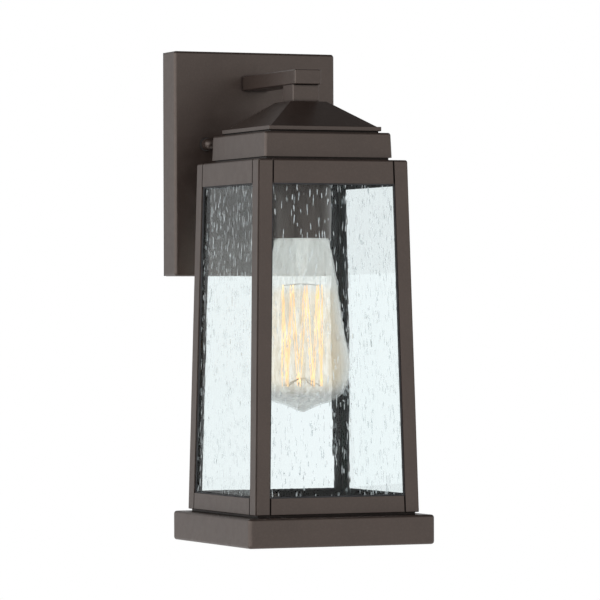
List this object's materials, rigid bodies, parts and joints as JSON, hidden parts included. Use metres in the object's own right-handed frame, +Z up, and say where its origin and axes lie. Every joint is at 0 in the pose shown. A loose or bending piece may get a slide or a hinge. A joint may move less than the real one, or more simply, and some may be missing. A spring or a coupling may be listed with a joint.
{
  "type": "outdoor wall lantern",
  "caption": "Square tapered outdoor wall lantern: seeded glass panes in a bronze frame, flat base tray, hipped roof, short flat arm and rectangular wall plate, with one clear filament lamp.",
  "frame": {"origin": "on the wall plane, midway between the two mounting studs", "axes": "+Z up, +Y into the wall, +X to the right seen from in front; the lantern stands out towards -Y"},
  "size_m": [0.128, 0.1605, 0.3185],
  "materials": {
    "brass": "plain rolled brass",
    "bronze": "dark bronze powder coat, fine satin texture",
    "clip_steel": "dark bronze spring steel",
    "connector_plastic": "moulded twist-on connectors",
    "copper": "bare copper wire",
    "dark_screws": "dark bronze plated screws",
    "filament": "glowing carbon-look filament",
    "gasket_foam": "closed-cell foam strip",
    "ground_green": "green-dyed steel screw",
    "lamp_black_glass": "black glass insulator",
    "lamp_brass": "rolled brass screw base",
    "lamp_clear_glass": "clear, very slightly amber blown glass",
    "lamp_contact_metal": "soldered tip contact",
    "lead_black": "black wire insulation",
    "lead_white": "white wire insulation",
    "seeded_glass": "clear seeded glass with drawn bubbles",
    "socket_phenolic": "moulded phenolic",
    "support_wire": "fine nickel support wire",
    "washer_rubber": "matte black rubber",
    "zinc_steel": "zinc-plated steel"
  },
  "bodies": {
    "lantern": {"arm": "bronze", "arm_screws": "zinc_steel", "backplate": "bronze", "base_screws": "dark_screws", "base_tray": "bronze", "bottom_glass_clips": "clip_steel", "bottom_rail_back": "bronze", "bottom_rail_front": "bronze", "bottom_rail_left": "bronze", "bottom_rail_right": "bronze", "cap_band": "bronze", "cap_nut_washers": "washer_rubber", "corner_post_back_left": "bronze", "corner_post_back_right": "bronze", "corner_post_front_left": "bronze", "corner_post_front_right": "bronze", "deck_plate": "bronze", "deck_screws": "dark_screws", "glass_back": "seeded_glass", "glass_front": "seeded_glass", "glass_left": "seeded_glass", "glass_right": "seeded_glass", "glazing_tape": "gasket_foam", "ground_lead": "copper", "ground_screw": "ground_green", "hanger_post": "bronze", "lead_hot": "lead_black", "lead_neutral": "lead_white", "mounting_studs": "zinc_steel", "nipple": "zinc_steel", "nipple_nuts": "zinc_steel", "plinth": "bronze", "roof": "bronze", "socket_body": "socket_phenolic", "socket_contact": "brass", "socket_cup": "bronze", "socket_shell": "brass", "stud_nuts": "zinc_steel", "terminal_screws": "brass", "top_glass_clips": "clip_steel", "top_rail_back": "bronze", "top_rail_front": "bronze", "top_rail_left": "bronze", "top_rail_right": "bronze", "wall_gasket": "gasket_foam", "wall_strap": "zinc_steel", "wire_connectors": "connector_plastic"},
    "lamp": {"lamp_glass": "lamp_clear_glass", "lamp_base": "lamp_brass", "lamp_insulator": "lamp_black_glass", "lamp_contact": "lamp_contact_metal", "lamp_stem": "lamp_clear_glass", "lamp_filament": "filament", "lamp_hooks": "support_wire"},
    "left_cap_nut": {"cap_nut_left": "bronze"},
    "right_cap_nut": {"cap_nut_right": "bronze"}
  },
  "joints": [
    {"name": "lamp_unscrew", "type": "slide", "parent": "lantern", "child": "lamp", "axis": [0, 0, -1], "range_m": [0, 0.028]},
    {"name": "left_cap_nut_turn", "type": "hinge", "parent": "lantern", "child": "left_cap_nut", "pos_m": [-0.03492, -0.0217, 0], "axis": [0, -1, 0], "continuous": true},
    {"name": "right_cap_nut_turn", "type": "hinge", "parent": "lantern", "child": "right_cap_nut", "pos_m": [0.03492, -0.0217, 0], "axis": [0, -1, 0], "continuous": true}
  ]
}
